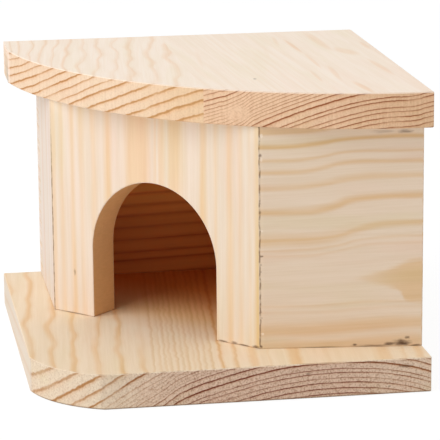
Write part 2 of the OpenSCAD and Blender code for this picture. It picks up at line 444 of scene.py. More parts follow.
class Board:
    """The pine of one board: where its pith lies, how its rings lie, and its colours."""

    def __init__(self, name, pith, turn, rings, tones, fibre_direction, thickness_direction, seed,
                 waviness=1.0, ripple=0.3, bow=None, strength=None, **grain):
        self.material = bpy.data.materials.new(name)
        self.material.use_nodes = True
        self.material.node_tree.nodes.clear()
        self.sheet = sheet = NodeSheet(self.material.node_tree)
        where = sheet.put("ShaderNodeTexCoord").outputs
        self.normal = where["Normal"]
        self.place = sheet.millimetres(where["Object"])
        log = sheet.millimetres(where["Object"], Location=pith, Rotation=turn)
        waves = sheet.group(
            shared_group("Log radius"), place=log, waviness=waviness, ripple=ripple, seed=seed)
        radius = waves.outputs["Radius"]
        if bow:
            x = sheet.put("ShaderNodeSeparateXYZ", {0: self.place}).outputs["X"]
            radius = sheet.minus(radius, sheet.curve(x, list(bow.items()), "AUTO_CLAMPED"))
        faces = sheet.group(
            shared_group("Cut faces"), normal=self.normal,
            fibre_direction=fibre_direction, thickness_direction=thickness_direction)
        self.end_grain, self.arris = faces.outputs["End Grain"], faces.outputs["Arris"]
        if strength:
            share = grain.get("ring_strength", 1.0)
            grain["ring_strength"] = sheet.times(sheet.curve(radius, strength), share)
            grain.setdefault("unevenness", 0.25)
        face, band, end, end_ring = tones
        self.grain = sheet.group(
            shared_group("Pine grain"), place=log, rings=sheet.curve(radius, rings), end_grain=self.end_grain,
            face=face, band=band, end=end, end_ring=end_ring, seed=seed, **grain)
        self.colour, self.height, self.roughness = self.grain.outputs

    def set_grain(self, **values):
        """Feeds the grain's own sockets, by their names."""
        for name, value in values.items():
            self.sheet.feed(self.grain.inputs[socket_name(name)], value)

    def retone(self, mask, **colours):
        """Gives the grain other colours where the mask is."""
        for name, colour in colours.items():
            usual = tuple(self.grain.inputs[socket_name(name)].default_value[:3])
            self.set_grain(**{name: self.sheet.blend(mask, usual, colour)})

    def wander(self, size, reach):
        """Lets the rings wander on the sanded top, by up to reach rings either way."""
        rings = self.grain.inputs["Rings"].links[0].from_socket
        shift = self.sheet.times(self.drift(size, reach), self.looks_along(UP))
        self.set_grain(rings=self.sheet.plus(rings, shift))

    def plain(self, mask):
        """Takes the rings of the end grain away where the mask is."""
        strength = self.grain.inputs["Ring Strength"].links[0].from_socket
        self.set_grain(ring_strength=self.sheet.times(strength, self.sheet.minus(1.0, mask)))

    def along(self, run, start=ORIGIN):
        """Distance in millimetres along a run from its start."""
        return self.sheet.minus(self.sheet.vector("DOT_PRODUCT", self.place, run), start.dot(run) / MM)

    def drift(self, size, reach):
        """Slow wandering to and fro, by up to reach either way."""
        return self.sheet.times(self.sheet.sway(self.place, size), reach * 2)

    def looks_along(self, direction, low=0.6, high=0.9):
        """Mask of the faces that look in one direction."""
        return self.sheet.step(self.sheet.vector("DOT_PRODUCT", self.normal, direction), low, high)

    def upper_arris(self):
        """Mask of the arrises that look up."""
        return self.sheet.times(self.arris, self.looks_along(UP, 0.0, 0.3))

    def far_arris(self):
        """Mask of the arrises that look to the back."""
        return self.sheet.times(self.arris, self.looks_along(BACK, 0.2, 0.4))

    def bands(self, distance, bands):
        """Mask of bands of late wood, each (rises from, full from, full to, gone at, share)."""
        knots = []
        for start, full, stays, end, share in bands:
            flat = [(full, share), (stays, share)] if stays > full else [(full, share)]
            knots += [(start, 0.0), *flat, (end, 0.0)]
        return self.sheet.curve(distance, knots)

    def draw(self, *masks):
        """Lays late wood over the face where any of the masks is."""
        drawn = masks[0]
        for mask in masks[1:]:
            drawn = self.sheet.math("MAXIMUM", drawn, mask)
        self.set_grain(drawn_band=drawn)

    def line(self, distance, centre, half_width, wander, broken=0.5):
        """Mask of a thin line that wanders a little and is weaker in places."""
        sheet = self.sheet
        off_centre = sheet.plus(self.drift((4, 4, 4), wander), sheet.minus(distance, centre))
        away = sheet.math("ABSOLUTE", off_centre)
        thin = sheet.step(away, half_width * 0.4, half_width, 1.0, 0.0)
        gaps = sheet.step(sheet.noise(self.place, (2.5, 2.5, 2.5), 2.0), 0.35, 0.6, 1.0 - broken, 1.0)
        return sheet.times(thin, gaps)

    def spot(self, centre, size, turn=0.0, soft=0.5, ragged=0.2):
        made = self.sheet.group(
            shared_group("Spot"), place=self.place, centre=centre, size=size, turn=turn, soft=soft,
            ragged=ragged)
        return made.outputs["Mask"]

    def spot_on(self, run, start, distance, height, half_width, half_height, **look):
        """A spot on an upright face, by its distance along the run and its height."""
        centre = start / MM + distance * run
        size = (half_width, SPOT_DEPTH, half_height)
        return self.spot((centre.x, centre.y, height), size, turn=math.atan2(run.y, run.x), **look)

    def marks(self, run, start, colour, marks, **look):
        """Marks on an upright face, each (distance along the run, height, half width, half height, share)."""
        for *where, share in marks:
            self.stain(self.spot_on(run, start, *where, **look), colour, share)

    def stain(self, mask, colour, share=1.0, kind="MIX"):
        """Lays a colour over the board where the mask is."""
        if share != 1.0:
            mask = self.sheet.times(mask, share)
        self.colour = self.sheet.blend(mask, self.colour, colour, kind)

    def tint(self, mask, colour, share=1.0):
        """Multiplies the board's colour where the mask is."""
        self.stain(mask, colour, share, "MULTIPLY")

    def finish(self, depth):
        """Joins everything to a wood shader and returns the material."""
        sheet = self.sheet
        bump = sheet.put("ShaderNodeBump", {"Height": self.height, "Distance": depth, "Strength": 1.0})
        shader = sheet.put("ShaderNodeBsdfPrincipled", {
            "Base Color": self.colour, "Roughness": self.roughness, "Normal": bump.outputs[0],
            "Specular IOR Level": 0.35,
        })
        sheet.put("ShaderNodeOutputMaterial", {"Surface": shader.outputs[0]})
        return self.material


def ring_knots(radii, first=0):
    """One knot for each ring, from the radii at which the rings end. The first ring has the number first."""
    return [(radius, number) for number, radius in enumerate(radii, first)]


def strength_knots(rings):
    """How dark each ring is, from pairs of a radius and a strength, level past both ends."""
    level = 5
    return [(rings[0][0] - level, rings[0][1]), *rings, (rings[-1][0] + level, rings[-1][1])]


def roof_front(x):
    """Where the roof's round front edge lies at x."""
    return ROOF_ARC_CENTRE.y - math.sqrt(ROOF_ARC_RADIUS ** 2 - (x - ROOF_ARC_CENTRE.x) ** 2)


def base_front(x):
    """Where the base's straight front edge lies, which is the same at every x."""
    return BASE_FRONT.y


def radii_from_edge(rings, front, pith, lean, bow):
    """Pairs of radius and strength, from the places where rings meet a front edge, each (x, z, strength)."""
    along_log = Vector((-math.sin(lean), math.cos(lean), 0))
    pairs = []
    for x, z, strength in rings:
        place = Vector((x * MM, front(x * MM), z * MM))
        radius = (place - pith).cross(along_log).length / MM
        pairs.append((radius - bow[x], strength))
    return pairs


def mark_eased_edges(mesh, keep_sharp):
    """Weights the arrises that the modifiers ease. keep_sharp(middle) names the ones that stay sharp."""
    corner = [tuple(round(c, 6) for c in v.co) for v in mesh.vertices]
    faces_at = {}
    for face in mesh.polygons:
        for edge in face.edge_keys:
            faces_at.setdefault(frozenset(corner[i] for i in edge), []).append(face.normal)
    weights = []
    for edge in mesh.edges:
        ends = [corner[i] for i in edge.vertices]
        normals = faces_at[frozenset(ends)]
        middle = (Vector(ends[0]) + Vector(ends[1])) / 2
        is_arris = len(normals) == 2 and normals[0].angle(normals[1], 0) > ARRIS_ANGLE
        weights.append(1.0 if is_arris and not keep_sharp(middle) else 0.0)
    mesh.attributes.new("bevel_weight_edge", "FLOAT", "EDGE").data.foreach_set("value", weights)


def shade_board(node, material, eased_edge, keep_sharp=lambda middle: False):
    """Gives a board its material and its sanded edges, as modifiers on the fixed mesh."""
    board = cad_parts[node]
    board.data.materials.clear()
    board.data.materials.append(material)
    board.data.shade_smooth()
    mark_eased_edges(board.data, keep_sharp)
    join = board.modifiers.new("Join corners", "WELD")
    join.merge_threshold = SAME_PLACE
    clear = board.modifiers.new("Clear triangles", "DECIMATE")
    clear.decimate_type = "DISSOLVE"
    clear.angle_limit = math.radians(0.5)
    ease = board.modifiers.new("Eased edges", "BEVEL")
    ease.width = eased_edge
    ease.segments = 2
    ease.limit_method = "WEIGHT"
    ease.use_clamp_overlap = False
    part = board.modifiers.new("Sharp seams", "EDGE_SPLIT")
    part.split_angle = SEAM_ANGLE
    part.use_edge_sharp = False
    flat = board.modifiers.new("Flat faces", "WEIGHTED_NORMAL")
    flat.mode = "FACE_AREA"
    flat.weight = 100


def glued_seam(middle):
    """True on the two edges where the roof boards are glued, which are sanded flush."""
    return abs(middle.x - SEAM_X) < SAME_PLACE


def mitred_corner(middle):
    """True on the upright arrises where two panels meet in a mitre."""
    plan = Vector((middle.x, middle.y, 0))
    return min((plan - corner).length for corner in (LEFT_CORNER, FRONT_CORNER)) < 10 * SAME_PLACE


# The left roof board: the radii at which its rings end.
ROOF_LEFT_PITH = Vector((0.0821, 0.0, -0.1075))
ROOF_LEFT_RINGS = (
    224, 229, 233.5, 237.7, 243, 247, 251.3, 255.2, 259.6, 262.3, 265.6, 268.9, 271.9, 275.2, 278.1, 281, 284,
    286.5, 289,
)
# The right roof board: where each ring meets the front edge, as x, z and strength.
ROOF_RIGHT_PITH = Vector((0.0778, 0.0, -0.0095))
ROOF_RIGHT_LEAN = math.radians(2.9)
ROOF_RIGHT_RINGS = (
    (83.5, 111.1, 0.9), (62, 110.7, 0.9), (62, 113.0, 1.0), (62, 115.0, 1.05), (62, 117.2, 0.9),
    (62, 119.0, 0.8), (62, 121.9, 1.0), (62, 123.4, 1.2),
    (30, 117.9, 1.5), (30, 120.4, 1.0), (30, 122.1, 0.8), (30, 123.6, 0.8), (30, 124.7, 0.7),
    (12, 118.3, 0.7), (12, 119.7, 0.6), (12, 121.1, 0.5), (12, 122.4, 0.5), (12, 123.8, 0.5),
    (12, 125.0, 0.5),
    (-2, 118.3, 0.7), (-2, 120.1, 0.7), (-2, 122.2, 1.2), (-2, 124.7, 0.8), (-8, 124.4, 0.7),
)
# How far the rings swing outwards from a circle, at each x.
ROOF_RIGHT_BOW = {
    -8: 0.9, -2: -0.3, 5: -1.2, 12: -0.1, 30: -0.1, 56: 0.1, 62: 0.0, 68: -0.3, 74: -0.6, 79: 0.2, 83.5: 1.1,
}
# Streaks of late wood in the top: middle x and y, half width, half length, turn in degrees, share.
ROOF_STREAKS = (
    (48.0, 45, 1.6, 26, 2.0, 0.9), (49.3, 5, 1.4, 26, 0.0, 0.7), (52.5, -26, 1.8, 26, -3.0, 0.7),
    (61.5, 58, 3.2, 34, 2.0, 0.6), (68.5, 27, 5.0, 15, 12.0, 0.6), (75, -14, 2.2, 26, 3.0, 0.8),
    (43.3, -33, 1.3, 20, 0.0, 0.6), (57.2, -61, 2.2, 20, 6.0, 0.9), (42.5, 60, 1.4, 18, -5.0, 0.4),
    (80.3, 40, 1.6, 16, 0.0, 0.6), (1, 20, 1.6, 34, -5.0, 0.25), (-3, -18, 2.4, 26, 4.0, 0.22),
    (33, 30, 1.3, 26, -6.0, 0.2), (10, -28, 1.2, 22, 5.0, 0.18),
)
# A spot without rings on the front edge, a soft stain on the left side's arris, and a pit in the top.
ROOF_PLAIN_PLACE, ROOF_PLAIN_SIZE = (5.0, -56.0, 115.5), (7.5, 20.0, 4.5)
ROOF_STAIN_PLACE, ROOF_STAIN_SIZE = (-79.0, 57.5, 124.6), (1.6, 4.0, 1.4)
ROOF_PIT_PLACE, ROOF_PIT_SIZE = (16.5, -34.0, ROOF_TOP), (0.8, 1.6, 0.6)
ROOF_SIDE_TINT = (0.91, 0.81, 0.71)
ROOF_STRAIGHT_SIDE_TINT = (1.07, 1.11, 1.22)
ROOF_RIGHT_END_TINT = (0.93, 0.89, 0.83)


class HAMSTERHOUSE_OT_roof(bpy.types.Operator):
    """Give the two roof boards their pine"""

    bl_idname = "hamsterhouse.roof"
    bl_label = "Finish the Roof"

    def execute(self, context):
        colours, sizes = context.scene.house_colours, context.scene.house_sizes
        boards = {"roof_left_stave": self.left_board(colours), "roof_right_stave": self.right_board(colours)}
        for node, board in boards.items():
            shade_board(node, board.finish(sizes.grain_depth), sizes.eased_edge, glued_seam)
        return {"FINISHED"}

    def paint_arris_light_and_shade(self, board, colours):
        """Paints a highlight on the arrises that look up and shade on the one at the back."""
        board.stain(board.upper_arris(), colours.roof_face, 0.7)
        board.stain(board.far_arris(), colours.back_arris_shade, 0.6)

    def left_board(self, colours):
        left = Board(
            "Roof pine left", pith=ROOF_LEFT_PITH, turn=(ALONG_Y, 0, math.radians(-6.3)), seed=3.0,
            rings=ring_knots(ROOF_LEFT_RINGS), waviness=0.8, ripple=0.45,
            tones=(colours.roof_face, colours.roof_band, colours.roof_end, colours.roof_end_ring),
            fibre_direction=BACK, thickness_direction=UP, band_width=0.3, band_strength=0.7,
            ring_width=0.48, ring_strength=1.05, speckle=0.3, saw_marks=0.6, fibre=0.7, patches=0.5,
        )
        left.retone(left.sheet.step(left.along(RIGHT), -62.0, -10.0), end=colours.roof_middle_end)
        left.wander((20, 34, 20), 0.7)
        left.tint(left.looks_along(LEFT), ROOF_SIDE_TINT)
        left.tint(left.looks_along(LEFT, 0.97, 0.998), ROOF_STRAIGHT_SIDE_TINT)
        self.paint_arris_light_and_shade(left, colours)
        left.stain(left.spot(ROOF_STAIN_PLACE, ROOF_STAIN_SIZE, soft=0.9), colours.dark_mark, 0.4)
        return left

    def right_board(self, colours):
        rings = radii_from_edge(
            ROOF_RIGHT_RINGS, roof_front, ROOF_RIGHT_PITH, ROOF_RIGHT_LEAN, ROOF_RIGHT_BOW)
        right = Board(
            "Roof pine right", pith=ROOF_RIGHT_PITH, turn=(ALONG_Y, 0, ROOF_RIGHT_LEAN), seed=11.0,
            rings=ring_knots([radius for radius, _ in rings]), strength=strength_knots(rings),
            bow=ROOF_RIGHT_BOW, waviness=0.25, ripple=0.15,
            tones=(colours.roof_face, colours.roof_band, colours.roof_right_end, colours.roof_right_ring),
            fibre_direction=BACK, thickness_direction=UP, band_width=0.6, band_strength=0.15,
            ring_width=0.55, speckle=0.45, saw_marks=0.8, fibre=0.7, patches=0.6,
        )
        right.plain(right.spot(ROOF_PLAIN_PLACE, ROOF_PLAIN_SIZE, soft=0.7, ragged=0.15))
        streaks = []
        for x, y, half_width, half_length, degrees, share in ROOF_STREAKS:
            size = (half_width, half_length, SPOT_DEPTH)
            spot = right.spot((x, y, ROOF_TOP), size, turn=math.radians(degrees), soft=0.7, ragged=0.1)
            streaks.append(right.sheet.times(spot, share))
        right.draw(*streaks)
        right_end = right.sheet.step(right.along(RIGHT), 30.0, 72.0)
        right.tint(right.sheet.times(right_end, right.end_grain), ROOF_RIGHT_END_TINT)
        self.paint_arris_light_and_shade(right, colours)
        right.stain(right.spot(ROOF_PIT_PLACE, ROOF_PIT_SIZE), colours.dark_mark, 0.5)
        return right


BASE_PITH = Vector((0.042, BASE_FRONT.y, -0.150))
BASE_LEAN = math.radians(-5)
# Where each ring meets the base's straight front edge, as x, z and strength.
BASE_EDGE_RINGS = (
    (60, 0.4, 0.9), (60, 2.7, 0.9), (60, 5.2, 1.0), (60, 7.1, 0.55), (60, 9.4, 1.0), (60, 11.0, 0.8),
    (60, 13.9, 1.6), (0, 12.8, 1.0), (-20, 9.6, 0.8), (-20, 10.8, 0.35), (-20, 12.1, 0.35), (-20, 13.4, 0.9),
    (-34, 7.1, 0.3), (-34, 8.9, 0.3), (-34, 10.7, 0.4), (-34, 13.1, 0.5), (-41, 13.3, 1.2),
)
# The rings that come out on the round corner and the left side, as radius and strength.
BASE_CORNER_RINGS = ((188.6, 0.8), (193.5, 1.35), (199.0, 0.75), (205.0, 0.7))
BASE_BOW = {-41: -1.0, -34: -0.8, -28: 0.3, -20: 1.1, -10: 0.8, 0: 0.4, 60: 0.0, 70: -0.3, 82: -1.3}
BASE_HAIR_LINES = (
    (-34.5, 0.8), (-31.8, 0.6), (-29.6, 0.8), (-27.4, 0.7), (-24.9, 0.9), (-22.4, 0.7), (-20.2, 0.8),
    (-17.9, 0.55), (-15.7, 0.9), (-13.0, 0.7), (-10.2, 1.0), (-6.4, 1.0), (0.0, 0.7),
)
BASE_BANDS = (
    (-8, -6.6, -6, -4.8, 0.8), (-2, -0.5, 0, 1.4, 0.5), (4.5, 6.5, 8, 10, 0.65),
    (12.6, 13.6, 13.8, 14.6, 0.3), (20.5, 22.8, 26, 28.5, 0.9), (35, 38, 39, 41, 0.25),
    (57, 60.5, 64, 66.5, 0.5), (69, 70.5, 71, 72, 0.35), (74.5, 76.5, 77.8, 79.5, 0.7),
)
BASE_MARKS = ((70.5, 11.7, 4.0, 0.9, 0.6), (63.5, 3.4, 0.9, 0.6, 0.5), (29, 10.6, 1.4, 0.6, 0.6))
# Painted shade: the floor inside the panels grows warm and dark with the distance behind the door panel, and
# yellower a little way in.
CABIN_FLOOR_SHADE = ((-8, 0), (-4, 0), (4, 0.08), (12, 0.15), (22, 0.28), (50, 0.83), (62, 0.98), (70, 0.98))
FLOOR_YELLOW = ((-8, 0), (-4, 0), (8, 0.1), (24, 1), (40, 0.8), (60, 0.3), (70, 0.3))
HAIR_TINT = (0.89, 0.81, 0.69)
BASE_SIDE_TINT = (0.92, 0.93, 0.94)
FLOOR_YELLOW_TINT = (0.97, 0.9, 0.7)


class HAMSTERHOUSE_OT_base(bpy.types.Operator):
    """Give the base board its pine"""

    bl_idname = "hamsterhouse.base"
    bl_label = "Finish the Base"

    def execute(self, context):
        colours, sizes = context.scene.house_colours, context.scene.house_sizes
        rings = radii_from_edge(BASE_EDGE_RINGS, base_front, BASE_PITH, BASE_LEAN, BASE_BOW)
        rings += BASE_CORNER_RINGS
        base = Board(
            "Base pine", pith=BASE_PITH, turn=(ALONG_Y, 0, BASE_LEAN), seed=7.0,
            rings=ring_knots([radius for radius, _ in rings], 1), strength=strength_knots(rings),
            bow=BASE_BOW, waviness=0.3, ripple=0.2,
            tones=(colours.base_face, colours.base_band, colours.base_end, colours.base_end_ring),
            fibre_direction=BACK, thickness_direction=UP, band_width=0.3, band_strength=1.0,
            ring_width=0.5, ring_strength=1.1, saw_marks=0.4, fibre=0.9, patches=0.7,
        )
        across = base.along(RIGHT)
        self.shade_end_grain(base, across, colours)
        self.draw_top(base, across)
        self.shade_edges(base, colours)
        self.shade_cabin_floor(base, across, colours)
        base.marks(RIGHT, BASE_FRONT, colours.dark_mark, BASE_MARKS, ragged=0.25, soft=0.8)
        shade_board("base_board", base.finish(sizes.grain_depth), sizes.eased_edge)
        return {"FINISHED"}

    def shade_end_grain(self, base, across, colours):
        """The end grain is paler and smoother towards both ends, and on the round corner."""
        sheet = base.sheet
        left, right = sheet.step(across, -68.0, -12.0, 1.0, 0.0), sheet.step(across, 35.0, 80.0, 0.0, 0.4)
        paler = sheet.math("MAXIMUM", left, right)
        off_front = base.looks_along(FRONT, 0.99, 0.93)
        base.retone(
            sheet.math("MAXIMUM", paler, off_front), end=colours.base_arc, end_ring=colours.base_arc_ring)
        base.set_grain(speckle=sheet.between(paler, 1.3, 0.5))

    def draw_top(self, base, across):
        """Late wood: wide at the left, in hair lines before the doorway, in soft bands at the right."""
        sheet = base.sheet
        base.wander((18, 30, 18), 0.45)
        base.set_grain(band_strength=sheet.step(across, -42.0, -33.0, 0.9, 0.12))
        lean = sheet.math("MULTIPLY_ADD", base.along(BACK, BASE_FRONT), -0.1, across)
        slant = sheet.plus(lean, base.drift((7, 7, 40), 1.0))
        hair = [(-37, 0)]
        for x, share in BASE_HAIR_LINES:
            hair += [(x - 1.1, 0), (x - 0.1, share), (x + 0.2, share), (x + 0.7, 0)]
        hair += [(4, 0)]
        base.tint(sheet.times(sheet.curve(slant, hair), base.looks_along(UP)), HAIR_TINT)
        base.draw(base.bands(slant, BASE_BANDS))

    def shade_edges(self, base, colours):
        """The left side is pale, the arrises that look up get a painted highlight, and a painted shadow lies
        along the foot of the front.
        """
        left_side = base.looks_along(LEFT, 0.96, 0.995)
        base.stain(left_side, colours.wall_face, 0.5)
        base.tint(left_side, BASE_SIDE_TINT)
        # Painted highlight on the arrises that look up.
        base.stain(base.upper_arris(), colours.base_face, 0.5)
        # Painted shadow along the foot of the front, where the base stands on the floor.
        foot = base.sheet.step(base.along(UP), 0.9, 0.3)
        base.stain(base.sheet.times(foot, base.looks_along(FRONT, 0.2, 0.5)), colours.joint, 0.7)

    def shade_cabin_floor(self, base, across, colours):
        """Paints shade on the floor inside the panels, warm and darker with the distance behind the door
        panel.
        """
        sheet = base.sheet
        depth = base.along(DOOR_INWARD, LEFT_CORNER)
        inside = sheet.step(depth, -4.0, 0.0)
        masks = (
            base.looks_along(UP), sheet.step(base.along(FRONT_INWARD, FRONT_CORNER), 4.0, 8.0),
            sheet.step(across, -62.0, -58.0), sheet.step(across, 74.0, 70.0),
            sheet.step(base.along(BACK), 84.0, 80.0),
        )
        for mask in masks:
            inside = sheet.times(inside, mask)
        # Painted shade, deeper further inside the cabin.
        base.tint(sheet.times(inside, sheet.curve(depth, CABIN_FLOOR_SHADE)), colours.inside)
        base.tint(sheet.times(inside, sheet.curve(depth, FLOOR_YELLOW)), FLOOR_YELLOW_TINT)


# The door panel, by the distance from its left corner.
DOOR_RINGS = (34, 38.2, 42.7, 47.4, 51.6, 56.2, 60.3, 64.4, 68.4)
DOOR_BANDS = (
    (-1, 0.6, 1.8, 3.2, 0.5), (4.2, 6.0, 6.6, 8.0, 0.5), (10, 11.6, 12.6, 14, 0.7), (15.2, 17, 18, 20, 0.5),
    (22.2, 23.6, 24.4, 26.5, 0.5), (29, 32, 32.8, 35, 0.85), (39.6, 44.2, 52.6, 56.5, 0.75),
    (56.5, 58, 58.2, 59, 0.5), (59.2, 60.3, 62.3, 63.8, 0.55), (64, 66, 70, 74, 0.75),
    (80.2, 82.2, 83.2, 86, 0.9), (88.2, 89.7, 90.3, 92, 0.5), (94.2, 96.2, 97.2, 99.8, 0.7),
    (100.8, 102.2, 102.8, 104.8, 0.45), (108.5, 110.2, 111.5, 113, 0.5),
)
# Dark marks on the door panel; the ones at the foot are partly painted shade where the panel stands on the
# base.
DOOR_MARKS_AND_FOOT_SHADE = (
    (12.3, 34, 0.8, 2.0, 0.5), (12, 15.2, 14.0, 0.5, 0.6), (93, 15.4, 3.0, 0.7, 0.8),
    (99, 15.6, 2.0, 0.9, 0.7), (104, 15.3, 4.0, 0.7, 0.8), (110, 15.6, 2.5, 0.9, 0.8),
)
# Painted shade low down on the doorway's cut face.
DOORWAY_LOW_SHADE_TINT = (0.96, 0.92, 0.86)
DOORWAY_ROUGH_TINT = (0.93, 0.91, 0.88)
# Painted light at the top of the door panel, against the shadow under the roof's eave.
DOOR_EAVE_LIGHT_TINT = (1.05, 1.06, 1.06)
DOOR_RIGHT_TINT = (0.97, 0.99, 0.985)

# The front panel, by the distance from the mitred corner and by the height.
FRONT_RINGS = (20, 29, 33.8, 37, 43.6, 51, 56.7, 60.8, 66, 71)
FRONT_CLIMB = (
    (0, 0), (14, 0.03), (22, 0.2), (28, 0.42), (34, 0.72), (42, 0.9), (52, 0.98), (60, 1), (69, 1),
)
FRONT_REACH = (
    (15, 1), (26, 3), (35, 1.5), (52, 3), (62.5, 5.2), (68.6, 6.8), (80.3, 6.6), (88.5, 4.5), (95.3, 4.4),
    (105, 3.6), (111, 3.4),
)
FRONT_FILL = ((57.0, 0.0), (58.3, 0.0), (60.5, 0.6), (63.0, 0.45), (66.0, 0.0), (67.0, 0.0))
TONGUE_TOP = ((38, 45.5), (46, 48), (52, 49.6), (58, 51.8), (63, 53.5), (70, 54.8))
TONGUE_BOTTOM = ((38, 44), (44, 42.4), (50, 41), (57, 39), (60, 36.5), (62, 33.5), (70, 32))
FRONT_BANDS = (
    (12, 15, 17, 19, 0.6), (19.2, 21.5, 24, 26.8, 0.65), (29, 30.4, 30.5, 31.3, 0.25),
    (32, 33.2, 33.4, 34.3, 0.35), (54.5, 55.3, 55.4, 56, 0.35), (56.6, 57.4, 57.5, 58.3, 0.45),
    (60.2, 61.3, 62.2, 63.6, 0.8), (71.8, 73.2, 74.0, 76.6, 0.85), (82.4, 83.6, 84.3, 86.6, 0.7),
    (89.4, 90.6, 91.2, 92.6, 0.8), (94.6, 95.4, 95.8, 96.8, 0.65), (100.2, 101.4, 102, 103.4, 0.95),
    (106.2, 107.4, 109, 111.5, 0.75),
)
FRONT_CORNER_CHIPS = (
    (0.8, 98.3, 0.9, 1.0, 0.7), (0.6, 89.5, 0.6, 1.3, 0.4), (0.7, 77.8, 0.5, 0.6, 0.3),
    (0.6, 74, 0.7, 1.0, 0.5), (1.2, 55.2, 1.0, 0.6, 0.7), (0.9, 51.5, 0.5, 0.7, 0.4),
    (0.9, 48.5, 0.5, 0.6, 0.4), (0.9, 31, 0.5, 0.6, 0.3), (1.2, 28.5, 0.5, 0.6, 0.3),
    (0.8, 16, 0.9, 0.9, 0.8),
)
FRONT_CORNER_FRAYS = (
    (1.5, 21.5, 0.8, 0.7, 0.6), (1.4, 66, 0.6, 0.6, 0.4), (1.3, 106.5, 0.8, 1.2, 0.5),
    (1.2, 96.5, 0.8, 1.2, 0.4),
)
# Stains on the front panel; the ones at the foot are partly painted shade where the panel stands on the base.
FRONT_STAINS_AND_FOOT_SHADE = (
    (60.5, 16.5, 4.6, 2.0, 1.0), (62.5, 18.8, 1.5, 0.9, 0.7), (55.5, 16.2, 4.0, 1.2, 0.8),
    (47, 15.5, 9.0, 0.8, 0.7), (40.3, 16.0, 1.4, 0.8, 0.8), (66.5, 15.4, 4.0, 0.8, 0.7),
    (26, 15.2, 16.0, 0.6, 0.5), (61, 107.6, 4.2, 1.1, 0.55), (52, 107.7, 7.0, 0.9, 0.25),
)
FRONT_WORN_TINT = (1.03, 1.03, 1.02)

# The back wall's inner face shows through the doorway, with painted light above and painted shade at the
# foot, over the painted shade of all inner faces.
BACK_RINGS = (75, 83, 86, 92.5, 97.7, 103.2, 108.2, 113.7, 119, 124, 129, 138, 141, 149, 153, 155.5, 164, 172)
BACK_TINT = (1.12, 1.1, 0.97)
BACK_LIGHT_AND_SHADE_TINTS = ((36.0, 66.0, (1.55, 2.1, 2.2)), (38.0, 18.0, (0.94, 0.9, 0.8)))


